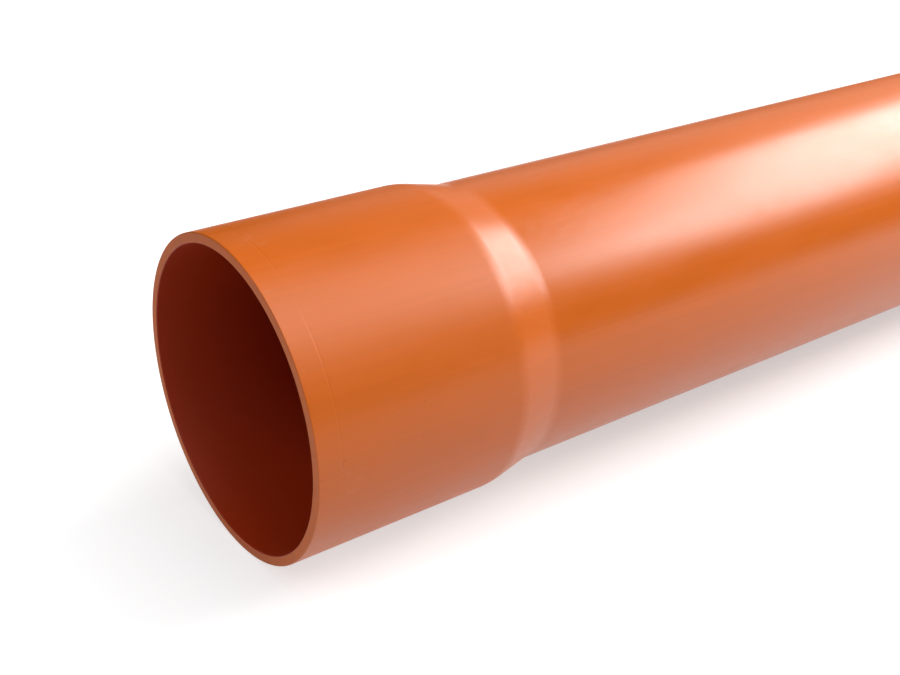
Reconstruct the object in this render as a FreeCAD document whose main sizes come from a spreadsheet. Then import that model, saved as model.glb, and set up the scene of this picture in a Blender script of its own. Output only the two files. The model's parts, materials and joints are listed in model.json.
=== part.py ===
"""A length of PVC-U sewer pipe with a plain solvent-weld socket formed on one end.

The pipe is one extruded tube. Its socket is the same wall, opened out while warm by a mandrel, so the wall
keeps its thickness through the socket, the shoulder, the taper and the throat. The other end, the spigot,
is cut square and given a shallow lead-in so that it enters the socket of the next pipe.

Frame: +X runs along the pipe from the socket's mouth to the spigot, +Z is up. The origin is on the floor,
under the middle of the length. The pipe lies on its socket.
"""

import FreeCAD, Part
import math
import os
import Sketcher

NODE = "sewer_pipe"

# Driving dimensions, in millimetres and degrees.
DIMENSIONS = [
    ("pipe_length", 1000, "overall, from the socket's mouth to the spigot's end"),
    ("pipe_diameter", 110, "outside diameter of the barrel and spigot"),
    ("wall", 3.7, "wall thickness, the same everywhere"),
    ("socket_clearance", 0.25, "radial gap round a spigot in the socket"),
    ("socket_depth", 80, "straight part of the socket, from its mouth to the shoulder"),
    ("taper_angle", 12.2, "slope of the taper between socket and barrel"),
    ("shoulder_radius", 25, "outside bend where the socket turns in to the taper"),
    ("throat_radius", 22, "outside bend where the taper turns back to the barrel"),
    ("arris", 0.4, "edge broken on the mouth and on the spigot's bore"),
    ("lead_length", 6, "length of the spigot's lead-in"),
    ("lead_angle", 15, "slope of the spigot's lead-in"),
]

START, END, CENTRE = 1, 2, 3  # the Sketcher's numbers for the points of a line or arc
X_AXIS, Y_AXIS = -1, -2  # the Sketcher's numbers for the axes of a sketch
ORIGIN = (X_AXIS, START)


def make_sheet(doc):
    """The spreadsheet that holds the driving dimensions, one to a row, each with an alias."""
    sheet = doc.addObject("Spreadsheet::Sheet", "Dimensions")
    for row, (alias, value, meaning) in enumerate(DIMENSIONS, start=1):
        sheet.set(f"A{row}", alias)
        sheet.set(f"B{row}", str(value))
        sheet.set(f"C{row}", meaning)
        sheet.setAlias(f"B{row}", alias)
    doc.recompute()
    return sheet


def origin_plane(body, role):
    return next(feature for feature in body.Origin.OriginFeatures if feature.Role == role)


def wall_skin(sheet, inward):
    """The line of one face of the wall, from the mouth to the spigot, at a depth inward from the outside.

    It is a straight socket, a shoulder arc, a straight taper, a throat arc and a straight barrel.
    """
    slope = math.radians(sheet.taper_angle)
    outside = sheet.pipe_diameter / 2 + sheet.socket_clearance + sheet.wall
    shoulder_centre = FreeCAD.Vector(sheet.socket_depth, outside - sheet.shoulder_radius, 0)
    bend_drop = (sheet.shoulder_radius + sheet.throat_radius) * (1 - math.cos(slope))
    drop = sheet.wall + sheet.socket_clearance
    taper = (drop - bend_drop) / math.sin(slope)
    taper_length = (sheet.shoulder_radius + sheet.throat_radius) * math.sin(slope) + taper * math.cos(slope)
    throat_centre = FreeCAD.Vector(
        sheet.socket_depth + taper_length, sheet.pipe_diameter / 2 + sheet.throat_radius, 0
    )
    shoulder = sheet.shoulder_radius - inward
    throat = sheet.throat_radius + inward
    out_and_along = FreeCAD.Vector(math.sin(slope), math.cos(slope), 0)
    up = FreeCAD.Vector(0, 1, 0)
    mouth = FreeCAD.Vector(0, outside - inward, 0)
    spigot = FreeCAD.Vector(sheet.pipe_length, sheet.pipe_diameter / 2 - inward, 0)
    shoulder_start = shoulder_centre + up * shoulder
    shoulder_end = shoulder_centre + out_and_along * shoulder
    throat_start = throat_centre - out_and_along * throat
    throat_end = throat_centre - up * throat
    normal = FreeCAD.Vector(0, 0, 1)
    return [
        Part.LineSegment(mouth, shoulder_start),
        Part.ArcOfCircle(
            Part.Circle(shoulder_centre, normal, shoulder), math.pi / 2 - slope, math.pi / 2
        ),
        Part.LineSegment(shoulder_end, throat_start),
        Part.ArcOfCircle(
            Part.Circle(throat_centre, normal, throat), 1.5 * math.pi - slope, 1.5 * math.pi
        ),
        Part.LineSegment(throat_end, spigot),
    ]


def constrain_skin(sketch, socket, shoulder, taper, throat, barrel):
    """Joins the five pieces of one face of the wall, each tangent to the next."""
    joints = [
        (socket, END, shoulder, END),
        (shoulder, START, taper, START),
        (taper, END, throat, START),
        (throat, END, barrel, START),
    ]
    for first, first_point, second, second_point in joints:
        sketch.addConstraint(Sketcher.Constraint("Tangent", first, first_point, second, second_point))
    sketch.addConstraint(Sketcher.Constraint("Horizontal", socket))
    sketch.addConstraint(Sketcher.Constraint("Horizontal", barrel))


def drive(sketch, name, expression, kind, *where):
    """Adds a named dimension to the sketch and binds it to the sheet."""
    index = sketch.addConstraint(Sketcher.Constraint(kind, *where))
    sketch.renameConstraint(index, name)
    sketch.setExpression(f"Constraints.{name}", expression)


def draw_wall_section(sketch, sheet):
    """The section of the wall above the axis, which is the sketch's horizontal axis."""
    outer = sketch.addGeometry(wall_skin(sheet, 0), False)
    inner = sketch.addGeometry(wall_skin(sheet, sheet.wall), False)
    outer_socket, outer_shoulder, outer_taper, outer_throat, outer_barrel = outer
    inner_socket, inner_shoulder, inner_taper, inner_throat, inner_barrel = inner
    points = [
        sketch.getPoint(geometry, point)
        for geometry, point in (
            (outer_socket, START),
            (inner_socket, START),
            (outer_barrel, END),
            (inner_barrel, END),
        )
    ]
    mouth, cut_end = sketch.addGeometry(
        [Part.LineSegment(points[0], points[1]), Part.LineSegment(points[2], points[3])], False
    )

    constrain_skin(sketch, *outer)
    constrain_skin(sketch, *inner)
    for face, first, second, point in (
        (mouth, outer_socket, inner_socket, START),
        (cut_end, outer_barrel, inner_barrel, END),
    ):
        sketch.addConstraint(Sketcher.Constraint("Coincident", face, START, first, point))
        sketch.addConstraint(Sketcher.Constraint("Coincident", face, END, second, point))
        sketch.addConstraint(Sketcher.Constraint("Vertical", face))
    sketch.addConstraint(Sketcher.Constraint("PointOnObject", mouth, START, Y_AXIS))
    for outside, inside in ((outer_shoulder, inner_shoulder), (outer_throat, inner_throat)):
        sketch.addConstraint(Sketcher.Constraint("Coincident", outside, CENTRE, inside, CENTRE))

    drive(sketch, "socket_wall", "Dimensions.wall", "DistanceY", mouth, END, mouth, START, sheet.wall)
    drive(sketch, "barrel_wall", "Dimensions.wall", "DistanceY", cut_end, END, cut_end, START, sheet.wall)
    drive(
        sketch, "socket_bore", "Dimensions.pipe_diameter / 2 + Dimensions.socket_clearance",
        "DistanceY", *ORIGIN, mouth, END, sheet.pipe_diameter / 2 + sheet.socket_clearance,
    )
    drive(
        sketch, "barrel_radius", "Dimensions.pipe_diameter / 2",
        "DistanceY", *ORIGIN, cut_end, START, sheet.pipe_diameter / 2,
    )
    drive(
        sketch, "overall_length", "Dimensions.pipe_length",
        "DistanceX", *ORIGIN, cut_end, START, sheet.pipe_length,
    )
    drive(
        sketch, "depth_of_socket", "Dimensions.socket_depth",
        "DistanceX", outer_socket, START, outer_socket, END, sheet.socket_depth,
    )
    drive(
        sketch, "slope_of_taper", "Dimensions.taper_angle * 1 deg",
        "Angle", outer_taper, END, outer_socket, END, math.radians(sheet.taper_angle),
    )
    drive(
        sketch, "bend_at_shoulder", "Dimensions.shoulder_radius",
        "Radius", outer_shoulder, sheet.shoulder_radius,
    )
    drive(
        sketch, "bend_at_throat", "Dimensions.throat_radius",
        "Radius", outer_throat, sheet.throat_radius,
    )


def round_edge(feature, along, radius):
    """The name of the circular edge of that radius about the axis, that far along the pipe."""
    tolerance = 1e-4
    for number, edge in enumerate(feature.Shape.Edges, start=1):
        circle = edge.Curve
        if not isinstance(circle, Part.Circle):
            continue
        if abs(circle.Center.x - along) < tolerance and abs(circle.Radius - radius) < tolerance:
            return f"Edge{number}"
    raise RuntimeError(f"{feature.Label} has no round edge of radius {radius} at {along}")


def break_edges(doc, body, sheet, tube):
    """Takes the sharp arris off the mouth, inside and out, and off the spigot's bore."""
    socket_bore = sheet.pipe_diameter / 2 + sheet.socket_clearance
    chamfer = body.newObject("PartDesign::Chamfer", "EdgeBreak")
    chamfer.Base = (
        tube,
        [
            round_edge(tube, 0, socket_bore),
            round_edge(tube, 0, socket_bore + sheet.wall),
            round_edge(tube, sheet.pipe_length, sheet.pipe_diameter / 2 - sheet.wall),
        ],
    )
    chamfer.setExpression("Size", "Dimensions.arris")
    doc.recompute()
    return chamfer


def cut_lead_in(doc, body, sheet):
    """Turns the shallow lead-in on the outside of the spigot."""
    sketch = body.newObject("Sketcher::SketchObject", "LeadInSection")
    sketch.AttachmentSupport = (origin_plane(body, "XZ_Plane"), "")
    sketch.MapMode = "FlatFace"
    depth = sheet.lead_length * math.tan(math.radians(sheet.lead_angle))
    corner = FreeCAD.Vector(sheet.pipe_length, sheet.pipe_diameter / 2, 0)
    along = FreeCAD.Vector(-sheet.lead_length, 0, 0)
    inward = FreeCAD.Vector(0, -depth, 0)
    surface, end, slope = sketch.addGeometry(
        [
            Part.LineSegment(corner + along, corner),
            Part.LineSegment(corner, corner + inward),
            Part.LineSegment(corner + inward, corner + along),
        ],
        False,
    )
    for first, second in ((surface, end), (end, slope), (slope, surface)):
        sketch.addConstraint(Sketcher.Constraint("Coincident", first, END, second, START))
    sketch.addConstraint(Sketcher.Constraint("Horizontal", surface))
    sketch.addConstraint(Sketcher.Constraint("Vertical", end))
    drive(
        sketch, "spigot_radius", "Dimensions.pipe_diameter / 2",
        "DistanceY", *ORIGIN, end, START, sheet.pipe_diameter / 2,
    )
    drive(
        sketch, "spigot_end", "Dimensions.pipe_length",
        "DistanceX", *ORIGIN, end, START, sheet.pipe_length,
    )
    drive(
        sketch, "length_of_lead", "Dimensions.lead_length",
        "DistanceX", surface, START, surface, END, sheet.lead_length,
    )
    drive(
        sketch, "depth_of_lead", "Dimensions.lead_length * tan(Dimensions.lead_angle * 1 deg)",
        "DistanceY", end, END, end, START, depth,
    )
    doc.recompute()

    groove = body.newObject("PartDesign::Groove", "LeadIn")
    groove.Profile = sketch
    groove.ReferenceAxis = (sketch, ["H_Axis"])
    groove.Angle = 360
    doc.recompute()
    return groove


def make_pipe(doc, sheet):
    """The whole pipe as one body: the tube turned about its axis, its edges broken and its spigot led in."""
    body = doc.addObject("PartDesign::Body", "SewerPipe")
    body.Label = NODE

    section = body.newObject("Sketcher::SketchObject", "WallSection")
    section.AttachmentSupport = (origin_plane(body, "XZ_Plane"), "")
    section.MapMode = "FlatFace"
    draw_wall_section(section, sheet)
    doc.recompute()

    tube = body.newObject("PartDesign::Revolution", "Tube")
    tube.Profile = section
    tube.ReferenceAxis = (section, ["H_Axis"])
    tube.Angle = 360
    doc.recompute()

    broken = break_edges(doc, body, sheet, tube)
    volume_before = broken.Shape.Volume
    led_in = cut_lead_in(doc, body, sheet)
    if not led_in.Shape.Volume < volume_before:
        raise RuntimeError("the lead-in cut nothing off the spigot")

    body.setExpression("Placement.Base.x", "-Dimensions.pipe_length / 2")
    body.setExpression(
        "Placement.Base.z",
        "Dimensions.pipe_diameter / 2 + Dimensions.socket_clearance + Dimensions.wall",
    )
    doc.recompute()
    return body


def check(doc, parts):
    """Stops before anything is written if a feature failed, a sketch is loose or a shape is bad."""
    for thing in doc.Objects:
        if "Invalid" in thing.State or "Error" in thing.State:
            raise RuntimeError(f"{thing.Label} failed: {thing.State}")
        if thing.isDerivedFrom("Sketcher::SketchObject") and not thing.FullyConstrained:
            raise RuntimeError(f"{thing.Label} isn't fully constrained")
    for part in parts:
        if part.Shape.isNull() or not part.Shape.isValid():
            raise RuntimeError(f"{part.Label} has no valid shape")


def write(parts):
    os.makedirs("parts", exist_ok=True)
    for part in parts:
        part.Shape.exportStep(f"parts/{part.Label}.step")
        box = part.Shape.optimalBoundingBox()
        print(f"{part.Label}: {part.Shape.Volume / 1000:.1f} cm3, {len(part.Shape.Solids)} solid,")
        print(f"  from ({box.XMin:.2f}, {box.YMin:.2f}, {box.ZMin:.2f})")
        print(f"  to ({box.XMax:.2f}, {box.YMax:.2f}, {box.ZMax:.2f})")


doc = FreeCAD.newDocument("SewerPipe")
sheet = make_sheet(doc)
parts = [make_pipe(doc, sheet)]
check(doc, parts)
write(parts)
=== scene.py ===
"""A length of PVC-U sewer pipe with a plain solvent-weld socket, lying on a pale studio floor.

The pipe stands for the frame's one node and rides on its one body. Its section is drawn from the frame's
box and mounts, rounded at its bends and edges, and turned about the pipe's axis. It has three finishes: the
extruded and belled skin, the bore and the sawn ends.
"""

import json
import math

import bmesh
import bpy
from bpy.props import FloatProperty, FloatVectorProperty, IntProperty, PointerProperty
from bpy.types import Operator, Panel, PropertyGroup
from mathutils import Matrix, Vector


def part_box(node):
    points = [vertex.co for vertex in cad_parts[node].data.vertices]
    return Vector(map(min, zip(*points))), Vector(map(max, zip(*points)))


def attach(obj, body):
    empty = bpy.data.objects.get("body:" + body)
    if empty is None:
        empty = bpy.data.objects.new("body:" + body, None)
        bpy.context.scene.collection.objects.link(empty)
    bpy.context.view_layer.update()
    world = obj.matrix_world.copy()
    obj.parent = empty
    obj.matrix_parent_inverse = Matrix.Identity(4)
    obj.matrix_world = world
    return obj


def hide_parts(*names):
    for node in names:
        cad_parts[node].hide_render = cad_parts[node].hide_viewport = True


bl_info = {
    "name": "PVC sewer pipe",
    "version": (1, 0, 0),
    "blender": (4, 5, 0),
    "location": "3D View > Sidebar > Sewer Pipe",
    "description": "A socketed length of rigid PVC sewer pipe, with a floor, lamps and a camera to show it",
    "category": "Object",
}

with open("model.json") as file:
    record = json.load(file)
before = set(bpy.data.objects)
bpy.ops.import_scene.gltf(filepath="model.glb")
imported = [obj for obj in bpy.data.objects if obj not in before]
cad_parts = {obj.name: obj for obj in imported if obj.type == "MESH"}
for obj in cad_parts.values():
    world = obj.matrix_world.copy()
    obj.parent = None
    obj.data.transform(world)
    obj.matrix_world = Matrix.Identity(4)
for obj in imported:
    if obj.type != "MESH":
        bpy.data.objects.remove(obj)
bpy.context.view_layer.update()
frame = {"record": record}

NODE = "sewer_pipe"
BODY = "root"
MM = 0.001

# Places and sizes of the real pipe, read from the frame.
LOW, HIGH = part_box(NODE)
MOUNTS = {mount["name"]: mount for mount in frame["record"]["mounts"]}


def mount_place(name):
    return Vector(MOUNTS[name]["pos_m"])


def mount_size(name, size):
    return MOUNTS[name]["dims"][size] * MM


AXIS_HEIGHT = mount_place("socket").z
MOUTH = LOW.x
SPIGOT_END = HIGH.x
EDGE_BREAK = mount_place("socket").x - MOUTH
SOCKET_DEPTH = EDGE_BREAK + mount_size("socket", "length_mm")
THROAT_END = mount_place("spigot").x - mount_size("spigot", "length_mm") - MOUTH
LEAD_LENGTH = SPIGOT_END - mount_place("spigot").x


def linear(hex_colour):
    """The linear colour of an sRGB hex value such as #C8641E."""
    channels = [int(hex_colour[place:place + 2], 16) / 255 for place in (1, 3, 5)]
    return tuple(c / 12.92 if c <= 0.04045 else ((c + 0.055) / 1.055) ** 2.4 for c in channels)


class PipeSettings(PropertyGroup):
    """Sizes and colours of the pipe."""

    barrel_radius: FloatProperty(
        name="Barrel radius", description="Outside radius of the barrel and spigot",
        default=mount_size("spigot", "r_mm"), unit="LENGTH", precision=4,
    )
    bore_radius: FloatProperty(
        name="Bore radius", description="Radius of the flow way",
        default=mount_size("barrel_bore", "r_mm"), unit="LENGTH", precision=4,
    )
    socket_radius: FloatProperty(
        name="Socket radius", description="Outside radius of the socket",
        default=AXIS_HEIGHT, unit="LENGTH", precision=4,
    )
    socket_bore_radius: FloatProperty(
        name="Socket bore radius", description="Radius inside the socket",
        default=mount_size("socket", "r_mm"), unit="LENGTH", precision=4,
    )
    shoulder_bend: FloatProperty(
        name="Shoulder bend", description="Outside radius where the socket turns in to the taper",
        default=25 * MM, unit="LENGTH",
    )
    throat_bend: FloatProperty(
        name="Throat bend", description="Outside radius where the taper turns back to the barrel",
        default=22 * MM, unit="LENGTH",
    )
    lead_angle: FloatProperty(
        name="Lead-in angle", description="Slope of the spigot's lead-in",
        default=math.radians(15), subtype="ANGLE",
    )
    witness_place: FloatProperty(
        name="Witness line", description="How far behind the mouth the socket's forming mark runs",
        default=9 * MM, unit="LENGTH",
    )
    steps: IntProperty(
        name="Facets", description="Flats round the pipe", default=192, min=24,
    )
    skin_colour: FloatVectorProperty(
        name="Skin", description="Colour of the extruded skin",
        default=linear("#DA6810"), subtype="COLOR", min=0, max=1,
    )
    # Painted shade: the bore's colour is drawn darker and redder than the skin's, for the dim light inside
    # the pipe.
    bore_shaded_colour: FloatVectorProperty(
        name="Bore", description="Colour of the skin inside the pipe",
        default=linear("#BE3A06"), subtype="COLOR", min=0, max=1,
    )
    barrel_roughness: FloatProperty(
        name="Barrel roughness", description="Roughness of the barrel and taper", default=0.33,
        min=0, max=1, subtype="FACTOR",
    )
    socket_roughness: FloatProperty(
        name="Socket roughness", description="Roughness of the reheated socket", default=0.41,
        min=0, max=1, subtype="FACTOR",
    )
    sawn_colour: FloatVectorProperty(
        name="Sawn end", description="Colour of the sawn ends",
        default=linear("#EE804B"), subtype="COLOR", min=0, max=1,
    )


class StageSettings(PropertyGroup):
    """The floor, the lamps and the camera."""

    studio_radius: FloatProperty(
        name="Studio", description="Distance to the studio's walls and ceiling", default=5, unit="LENGTH",
    )
    floor_radius: FloatProperty(
        name="Floor radius", description="Radius of the round studio floor", default=1.1, unit="LENGTH",
    )
    floor_colour: FloatVectorProperty(
        name="Floor", description="Colour of the floor under the lamps",
        default=linear("#CACACA"), subtype="COLOR", min=0, max=1,
    )
    floor_lift: FloatProperty(
        name="Floor lift", description="White added to the floor where it is seen, beside the pipe",
        default=0.52, min=0, max=1,
    )
    key_brightness: FloatProperty(
        name="Key", description="Brightness of the main softbox, where 1 is white", default=11, min=0,
    )
    overhead_brightness: FloatProperty(
        name="Overhead", description="Brightness of the softbox overhead, where 1 is white", default=2.9,
        min=0,
    )
    front_brightness: FloatProperty(
        name="Front", description="Brightness of the softbox in front, where 1 is white", default=1.2, min=0,
    )
    mouth_brightness: FloatProperty(
        name="Mouth", description="Brightness of the softbox that faces the mouth, where 1 is white",
        default=1.5, min=0,
    )
    back_brightness: FloatProperty(
        name="Back", description="Brightness of the screen behind the pipe, where 1 is white", default=0.55,
        min=0,
    )
    focal_length: FloatProperty(
        name="Focal length", description="Focal length of the camera", default=50, unit="CAMERA",
    )


def add_node(tree, kind, inputs=None, **settings):
    """Adds a node with its settings. Each input is a value, a node's socket, or a node.

    A node stands for its first output that is in use.
    """
    node = tree.nodes.new(kind)
    for name, value in settings.items():
        setattr(node, name, value)
    for name, value in (inputs or {}).items():
        if isinstance(value, bpy.types.Node):
            value = next(output for output in value.outputs if output.enabled)
        if isinstance(value, bpy.types.NodeSocket):
            tree.links.new(value, node.inputs[name])
        else:
            node.inputs[name].default_value = value
    return node


def new_material(name):
    material = bpy.data.materials.new(name)
    material.use_nodes = True
    material.node_tree.nodes.clear()
    return material, material.node_tree


def between(value, low, high, at_low=0.0, at_high=1.0):
    """Map Range inputs that stretch a value from low to high over another span, and hold it beyond."""
    return {"Value": value, "From Min": low, "From Max": high, "To Min": at_low, "To Max": at_high}


def lengthwise_patterns(tree, sizes):
    """Soft random patterns in object space, each from its spots' length and width in mm and its detail."""
    place = add_node(tree, "ShaderNodeTexCoord").outputs["Object"]
    patterns = {}
    for name, (length, width, detail) in sizes.items():
        scale = (1 / (length * MM), 1 / (width * MM), 1 / (width * MM))
        space = add_node(tree, "ShaderNodeMapping", {"Vector": place, "Scale": scale})
        patterns[name] = add_node(
            tree, "ShaderNodeTexNoise", {"Vector": space, "Scale": 1.0, "Detail": detail},
        )
    return patterns


def shade(colour, by):
    return (*(channel * by for channel in colour), 1)


MIX_A, MIX_B = 2, 3  # a Mix node's two numbers
TINT_A, TINT_B = 6, 7  # and its two colours
PVC_IOR = 1.53

# The spots of each pattern: their length along the pipe and their width in mm, and the noise's detail.
SKIN_SPOTS = {
    "lines": (220, 1.2, 2), "clouds": (38, 16, 2), "mottle": (3.6, 2.6, 2), "grain": (0.9, 0.9, 1),
    "nicks": (5, 0.45, 2), "specks": (1.1, 1.1, 0), "rubs": (9, 7, 2),
}
BORE_SPOTS = {"lines": (250, 2.5, 2)}
SAWN_SPOTS = {"marks": (0.4, 0.35, 3), "sweep": (2, 6, 2)}

REHEAT_FADE = 4 * MM  # how far past the shoulder the reheated finish runs out
RUB_START, RUB_END = 8 * MM, 28 * MM  # how far from the mouth the rubs begin to thin out, and end
RUB_COLOUR = linear("#F3E0CB")
RUB_COVER = 0.07  # how far a rub turns the skin to its colour
RUB_DULLNESS = 0.06  # what a rub adds to the roughness
MARK_COVER = 0.35  # how far a nick or a speck darkens the skin
CLOUD_DULLNESS = 0.025  # how far the clouds move the roughness, up and down
MOTTLE_DULLNESS = 0.02  # and the mottle
SKIN_RELIEF = 0.006 * MM
BORE_RELIEF = 0.003 * MM
SAWN_RELIEF = 0.02 * MM


def finish_surface(tree, colour, roughness, relief, height):
    """Ends a PVC material: its colour, its roughness, and a relief whose full height is in metres."""
    bump = add_node(tree, "ShaderNodeBump", {"Height": relief, "Strength": 1.0, "Distance": height})
    shader = add_node(
        tree, "ShaderNodeBsdfPrincipled",
        {"Base Color": colour, "Roughness": roughness, "IOR": PVC_IOR, "Normal": bump},
    )
    add_node(tree, "ShaderNodeOutputMaterial", {"Surface": shader})


# Rigid PVC, extruded through a polished die, cooled in a sizing sleeve and belled over a mandrel: an even,
# opaque orange-brown of low gloss, duller where the socket was reheated. It has faint lines along the pipe,
# a soft mottle, short nicks and specks from handling, and pale rubs behind the mouth. The mottle and the
# grain are drawn coarser than the real ones, which are too fine to show.
def extruded_pvc(settings):
    material, tree = new_material("Rigid PVC, extruded and belled")
    place = add_node(tree, "ShaderNodeTexCoord").outputs["Object"]
    along = add_node(tree, "ShaderNodeSeparateXYZ", {"Vector": place})
    shoulder = MOUTH + SOCKET_DEPTH
    smooth = {"interpolation_type": "SMOOTHSTEP"}
    formed = add_node(
        tree, "ShaderNodeMapRange", between(along, shoulder, shoulder + REHEAT_FADE, 1, 0), **smooth,
    )
    mouth_end = add_node(
        tree, "ShaderNodeMapRange", between(along, MOUTH + RUB_START, MOUTH + RUB_END, 1, 0), **smooth,
    )
    pattern = lengthwise_patterns(tree, SKIN_SPOTS)

    # The colour: drifting a little along and round the pipe, paler at a rub, darker in a nick.
    drift = add_node(tree, "ShaderNodeMath", {0: pattern["lines"], 1: pattern["clouds"]}, operation="ADD")
    drift = add_node(tree, "ShaderNodeMapRange", between(drift, 0.6, 1.4), **smooth)
    base = add_node(
        tree, "ShaderNodeMix", {
            "Factor": drift,
            TINT_A: shade(settings.skin_colour, 0.97), TINT_B: shade(settings.skin_colour, 1.03),
        }, data_type="RGBA",
    )
    rubs = add_node(tree, "ShaderNodeMapRange", between(pattern["rubs"], 0.6, 0.85), **smooth)
    rubs = add_node(tree, "ShaderNodeMath", {0: rubs, 1: mouth_end}, operation="MULTIPLY")
    paler = add_node(tree, "ShaderNodeMath", {0: rubs, 1: RUB_COVER}, operation="MULTIPLY")
    rubbed = add_node(
        tree, "ShaderNodeMix", {"Factor": paler, TINT_A: base, TINT_B: (*RUB_COLOUR, 1)},
        data_type="RGBA",
    )
    nicks = add_node(tree, "ShaderNodeMapRange", between(pattern["nicks"], 0.75, 0.79), **smooth)
    specks = add_node(tree, "ShaderNodeMapRange", between(pattern["specks"], 0.86, 0.90), **smooth)
    marks = add_node(tree, "ShaderNodeMath", {0: nicks, 1: specks}, operation="MAXIMUM")
    darker = add_node(tree, "ShaderNodeMath", {0: marks, 1: MARK_COVER}, operation="MULTIPLY")
    colour = add_node(
        tree, "ShaderNodeMix", {"Factor": darker, TINT_A: rubbed, TINT_B: shade(settings.skin_colour, 0.5)},
        data_type="RGBA",
    )

    # The gloss: duller on the socket and at a rub, and uneven in clouds and in the fine mottle.
    gloss = add_node(
        tree, "ShaderNodeMix",
        {"Factor": formed, MIX_A: settings.barrel_roughness, MIX_B: settings.socket_roughness},
        data_type="FLOAT",
    )
    clouds = add_node(
        tree, "ShaderNodeMapRange",
        between(pattern["clouds"], 0.2, 0.8, -CLOUD_DULLNESS, CLOUD_DULLNESS), **smooth,
    )
    clouded = add_node(tree, "ShaderNodeMath", {0: gloss, 1: clouds}, operation="ADD")
    mottle = add_node(
        tree, "ShaderNodeMapRange",
        between(pattern["mottle"], 0.3, 0.7, -MOTTLE_DULLNESS, MOTTLE_DULLNESS), **smooth,
    )
    mottled = add_node(tree, "ShaderNodeMath", {0: clouded, 1: mottle}, operation="ADD")
    roughness = add_node(
        tree, "ShaderNodeMath", {0: rubs, 1: RUB_DULLNESS, 2: mottled}, operation="MULTIPLY_ADD",
    )

    # The relief: the lines, the grain and the marks cut into them.
    relief = add_node(tree, "ShaderNodeMath", {0: pattern["lines"], 1: 0.2}, operation="MULTIPLY")
    for height, share in ((pattern["mottle"], 0.5), (pattern["grain"], 0.2), (marks, -0.8)):
        relief = add_node(tree, "ShaderNodeMath", {0: height, 1: share, 2: relief}, operation="MULTIPLY_ADD")
    finish_surface(tree, colour, roughness, relief, SKIN_RELIEF)
    return material


# The same PVC inside the pipe, cooled in still air: duller than the outside. Its colour holds painted shade:
# it is drawn darker and redder than the skin, to look as dim as the real bore does with little light in it.
def bore_pvc(settings):
    material, tree = new_material("Rigid PVC, bore")
    lines = lengthwise_patterns(tree, BORE_SPOTS)["lines"]
    colour = add_node(
        tree, "ShaderNodeMix", {
            "Factor": lines,
            TINT_A: shade(settings.bore_shaded_colour, 0.96), TINT_B: shade(settings.bore_shaded_colour, 1.04),
        }, data_type="RGBA",
    )
    roughness = add_node(tree, "ShaderNodeMapRange", between(lines, 0.3, 0.7, 0.5, 0.54))
    finish_surface(tree, colour, roughness, lines, BORE_RELIEF)
    return material


# The same PVC where a saw has cut it: dull, and paler than the skin, with the saw's fine marks.
def sawn_pvc(settings):
    material, tree = new_material("Rigid PVC, sawn")
    pattern = lengthwise_patterns(tree, SAWN_SPOTS)
    drift = add_node(tree, "ShaderNodeMath", {0: pattern["marks"], 1: pattern["sweep"]}, operation="ADD")
    drift = add_node(tree, "ShaderNodeMapRange", between(drift, 0.75, 1.25))
    colour = add_node(
        tree, "ShaderNodeMix", {
            "Factor": drift,
            TINT_A: shade(settings.sawn_colour, 0.93), TINT_B: shade(settings.sawn_colour, 1.07),
        }, data_type="RGBA",
    )
    roughness = add_node(tree, "ShaderNodeMapRange", between(pattern["sweep"], 0.3, 0.7, 0.7, 0.8))
    finish_surface(tree, colour, roughness, pattern["marks"], SAWN_RELIEF)
    return material


def taper_slope(settings):
    """The slope of the taper that joins the socket to the barrel between its two bends."""
    bends = settings.shoulder_bend + settings.throat_bend
    along = THROAT_END - SOCKET_DEPTH
    across = bends - (settings.socket_radius - settings.barrel_radius)
    return math.asin(bends / math.hypot(along, across)) - math.atan2(across, along)


def skin_line(settings, depth):
    """Corners of one face of the wall, at a depth inward from the outside, each with the size of its bend.

    A corner is (distance from the mouth, distance from the axis, cut back along each side).
    """
    half_turn = math.tan(taper_slope(settings) / 2)
    shoulder = (settings.shoulder_bend - depth) * half_turn
    throat = (settings.throat_bend + depth) * half_turn
    return [
        (SOCKET_DEPTH + shoulder, settings.socket_radius - depth, shoulder),
        (THROAT_END - throat, settings.barrel_radius - depth, throat),
    ]


WITNESS_WIDTH = 0.7 * MM
WITNESS_DEPTH = 0.04 * MM


def pipe_section(settings):
    """Corners of the wall's whole section, from the mouth along the outside and back along the bore.

    A corner on a straight stretch, beside the mouth's edge or the forming mark, keeps the smooth shading of
    the edge or the mark from leaning across the stretch.
    """
    wall = settings.barrel_radius - settings.bore_radius
    length = SPIGOT_END - MOUTH
    lead_depth = LEAD_LENGTH * math.tan(settings.lead_angle)
    mark = settings.witness_place
    reach = WITNESS_WIDTH / 2
    return [
        (0, settings.socket_radius, EDGE_BREAK),
        (EDGE_BREAK * 2, settings.socket_radius, 0),
        (mark - reach * 2, settings.socket_radius, 0),
        (mark - reach, settings.socket_radius, 0),
        (mark, settings.socket_radius - WITNESS_DEPTH, 0),
        (mark + reach, settings.socket_radius, 0),
        (mark + reach * 2, settings.socket_radius, 0),
        *skin_line(settings, 0),
        (length - LEAD_LENGTH, settings.barrel_radius, 0),
        (length, settings.barrel_radius - lead_depth, 0),
        (length, settings.bore_radius, EDGE_BREAK),
        *reversed(skin_line(settings, wall)),
        (0, settings.socket_bore_radius, EDGE_BREAK),
    ]


BEND_STEPS = 10  # facets of a rounded corner or bend
SHARP = math.radians(12)  # an edge that turns more than this is drawn sharp
END_REACH = EDGE_BREAK / 20  # how far from an end the middle of a sawn face can be
SKIN, SAWN, BORE = range(3)  # the pipe's material slots


def face_finish(face):
    """Which slot a face of the turned pipe takes: sawn across its ends, bore inside and skin outside."""
    centre = face.calc_center_median()
    if min(centre.x - MOUTH, SPIGOT_END - centre.x) < END_REACH:
        return SAWN
    outward = centre - Vector((centre.x, 0, AXIS_HEIGHT))
    return SKIN if face.normal.dot(outward) > 0 else BORE


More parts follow.
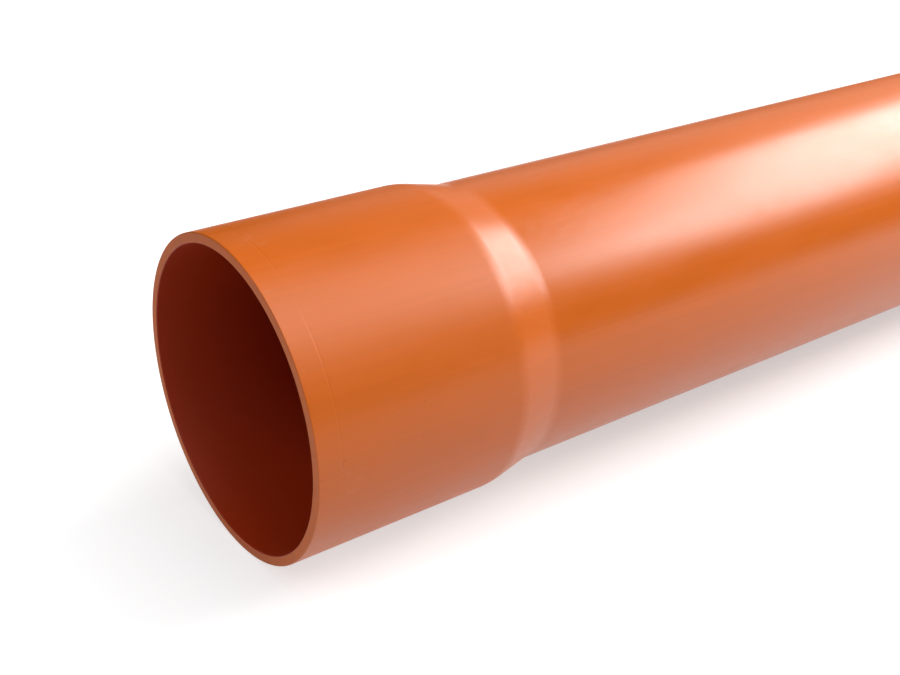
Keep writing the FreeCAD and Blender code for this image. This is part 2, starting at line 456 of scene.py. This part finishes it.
def turned_pipe(settings):
    """A mesh of the pipe: the section drawn, its corners rounded, and turned once about the axis."""
    mesh = bpy.data.meshes.new("sewer_pipe_turned")
    shape = bmesh.new()
    corners = pipe_section(settings)
    points = [shape.verts.new((MOUTH + along, 0, AXIS_HEIGHT + out)) for along, out, _ in corners]
    for point, following in zip(points, points[1:] + points[:1]):
        shape.edges.new((point, following))
    for point, (_, _, cut_back) in zip(points, corners):
        if cut_back:
            bmesh.ops.bevel(
                shape, geom=[point], offset=cut_back, offset_type="OFFSET", segments=BEND_STEPS,
                profile=0.5, affect="VERTICES", material=-1,
            )
    bmesh.ops.spin(
        shape, geom=shape.verts[:] + shape.edges[:], cent=(0, 0, AXIS_HEIGHT), axis=(1, 0, 0),
        angle=math.tau, steps=settings.steps, use_merge=True,
    )
    bmesh.ops.recalc_face_normals(shape, faces=shape.faces)
    for face in shape.faces:
        face.smooth = True
        face.material_index = face_finish(face)
    for edge in shape.edges:
        edge.smooth = edge.calc_face_angle(0) < SHARP
    shape.to_mesh(mesh)
    shape.free()
    return mesh


def show(name, data):
    """Puts a new object at the origin, with its place in its mesh."""
    thing = bpy.data.objects.new(name, data)
    bpy.context.scene.collection.objects.link(thing)
    return thing


class PIPE_OT_turn(Operator):
    """Make the pipe, with its socket, spigot and sawn ends"""

    bl_idname = "pipe.turn"
    bl_label = "Make the pipe"

    def execute(self, context):
        settings = context.scene.pipe_settings
        pipe = show("sewer_pipe_skin", turned_pipe(settings))
        for finish in (extruded_pvc, sawn_pvc, bore_pvc):
            pipe.data.materials.append(finish(settings))
        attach(pipe, BODY)
        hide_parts(NODE)
        return {"FINISHED"}


def seen_directly(tree):
    """1 for the rays that show the background: to the camera, in a reflection and through glass."""
    path = add_node(tree, "ShaderNodeLightPath").outputs
    seen = path["Is Camera Ray"]
    for ray in ("Is Glossy Ray", "Is Transmission Ray"):
        seen = add_node(tree, "ShaderNodeMath", {0: seen, 1: path[ray]}, operation="MAXIMUM")
    return seen


FLOOR_STRETCH = (0.6, 1, 1)  # lengthwise distances on the floor count for less, as the pipe is long
FLOOR_FADE = (0.15, 0.6)  # distances from the middle at which the floor begins to turn white, and is white


# Matt pale board: it scatters light evenly and keeps the pipe's soft shadow, and turns white away from it.
def floor_material(settings):
    material, tree = new_material("Matt studio board")
    board = add_node(tree, "ShaderNodeBsdfDiffuse", {"Color": (*settings.floor_colour, 1)})
    place = add_node(tree, "ShaderNodeTexCoord").outputs["Object"]
    away = add_node(tree, "ShaderNodeVectorMath", {0: place, 1: FLOOR_STRETCH}, operation="MULTIPLY")
    away = add_node(tree, "ShaderNodeVectorMath", {0: away}, operation="LENGTH")
    white = add_node(
        tree, "ShaderNodeMapRange", between(away, *FLOOR_FADE, settings.floor_lift),
        interpolation_type="SMOOTHSTEP",
    )
    strength = add_node(tree, "ShaderNodeMath", {0: white, 1: seen_directly(tree)}, operation="MULTIPLY")
    lift = add_node(tree, "ShaderNodeEmission", {"Color": (1, 1, 1, 1), "Strength": strength})
    both = add_node(tree, "ShaderNodeAddShader", {0: board, 1: lift})
    add_node(tree, "ShaderNodeOutputMaterial", {"Surface": both})
    return material


# Dark grey cloth on the studio's walls and ceiling, which keeps the lamps' light from washing round the pipe.
def studio_cloth():
    material, tree = new_material("Dark studio cloth")
    cloth = add_node(tree, "ShaderNodeBsdfDiffuse", {"Color": (*linear("#5A5A5A"), 1)})
    add_node(tree, "ShaderNodeOutputMaterial", {"Surface": cloth})
    return material


def aim(thing, place, target):
    thing.location = place
    thing.rotation_euler = (target - place).to_track_quat("-Z", "Y").to_euler()


def direction(azimuth, elevation):
    """The unit vector that points that many degrees round from +X and up from level."""
    turn = math.radians(azimuth)
    rise = math.radians(elevation)
    return Vector((math.cos(rise) * math.cos(turn), math.cos(rise) * math.sin(turn), math.sin(rise)))


def softbox(name, target, heading, distance, size, brightness):
    """A soft rectangular lamp that faces the target. Brightness is its face's, where 1 is white."""
    width, height = size
    data = bpy.data.lights.new(name, "AREA")
    data.shape = "RECTANGLE"
    data.size = width
    data.size_y = height
    data.energy = brightness * math.pi * width * height
    lamp = show(name, data)
    aim(lamp, target + direction(*heading) * distance, target)


def studio_mesh(name, primitive, **sizes):
    """A mesh of one of bmesh's simple shapes, round the origin."""
    mesh = bpy.data.meshes.new(name)
    shape = bmesh.new()
    primitive(shape, **sizes)
    shape.to_mesh(mesh)
    shape.free()
    return mesh


SUBJECT = Vector((MOUTH + 0.2, 0, AXIS_HEIGHT))  # what the lamps light: the axis, a little behind the socket

# Each lamp has the setting of its brightness, its direction from the subject as degrees round from +X and
# up from level, its distance, and its width and height.
LAMPS = {
    "key_softbox": ("key_brightness", (-12, 35), 1.3, (1.12, 0.48)),
    "overhead_softbox": ("overhead_brightness", (-70, 70), 1.6, (1.2, 1.2)),
    "front_softbox": ("front_brightness", (-110, 35), 1.8, (1.2, 1.0)),
    "mouth_softbox": ("mouth_brightness", (170, 35), 1.8, (1.2, 1.0)),
    "back_screen": ("back_brightness", (40, 22), 2.4, (2.2, 1.2)),
}

CAMERA_TARGET = Vector((MOUTH + 0.0904, -0.0051, AXIS_HEIGHT + 0.0002))
CAMERA_HEADING = (53.3, -25.8)  # degrees round from +X and up from level
CAMERA_DISTANCE = 0.47
SENSOR_WIDTH = 36  # mm


class PIPE_OT_stage(Operator):
    """Make the floor, the lamps and the camera"""

    bl_idname = "pipe.stage"
    bl_label = "Set the stage"

    def execute(self, context):
        settings = context.scene.stage_settings
        scene = context.scene
        scene.view_settings.view_transform = "Standard"

        floor = show("floor", studio_mesh(
            "studio_floor", bmesh.ops.create_circle, cap_ends=True, segments=96, radius=settings.floor_radius,
        ))
        floor.data.materials.append(floor_material(settings))

        walls = show("studio_walls", studio_mesh(
            "studio_dome", bmesh.ops.create_uvsphere, u_segments=32, v_segments=16,
            radius=settings.studio_radius,
        ))
        walls.data.materials.append(studio_cloth())
        walls.visible_camera = False

        for name, (brightness, heading, distance, size) in LAMPS.items():
            softbox(name, SUBJECT, heading, distance, size, getattr(settings, brightness))

        world = bpy.data.worlds.new("White studio")
        world.use_nodes = True
        world.node_tree.nodes.clear()
        background = add_node(
            world.node_tree, "ShaderNodeBackground",
            {"Color": (1, 1, 1, 1), "Strength": seen_directly(world.node_tree)},
        )
        add_node(world.node_tree, "ShaderNodeOutputWorld", {"Surface": background})
        scene.world = world

        camera_data = bpy.data.cameras.new("camera")
        camera_data.lens = settings.focal_length
        camera_data.sensor_width = SENSOR_WIDTH
        camera = show("camera", camera_data)
        aim(camera, CAMERA_TARGET - direction(*CAMERA_HEADING) * CAMERA_DISTANCE, CAMERA_TARGET)
        scene.camera = camera
        return {"FINISHED"}


class PIPE_PT_sidebar(Panel):
    """The pipe's panel in the sidebar"""

    bl_label = "Sewer Pipe"
    bl_idname = "PIPE_PT_sidebar"
    bl_space_type = "VIEW_3D"
    bl_region_type = "UI"
    bl_category = "Sewer Pipe"

    def draw(self, context):
        for settings, operator in (
            (context.scene.pipe_settings, PIPE_OT_turn),
            (context.scene.stage_settings, PIPE_OT_stage),
        ):
            box = self.layout.box()
            for name in settings.__annotations__:
                box.prop(settings, name)
            box.operator(operator.bl_idname)


CLASSES = (PipeSettings, StageSettings, PIPE_OT_turn, PIPE_OT_stage, PIPE_PT_sidebar)


def register():
    for cls in CLASSES:
        bpy.utils.register_class(cls)
    bpy.types.Scene.pipe_settings = PointerProperty(type=PipeSettings)
    bpy.types.Scene.stage_settings = PointerProperty(type=StageSettings)


def unregister():
    del bpy.types.Scene.stage_settings
    del bpy.types.Scene.pipe_settings
    for cls in reversed(CLASSES):
        bpy.utils.unregister_class(cls)


def main():
    register()
    bpy.ops.pipe.turn()
    bpy.ops.pipe.stage()


if __name__ == "__main__":
    main()
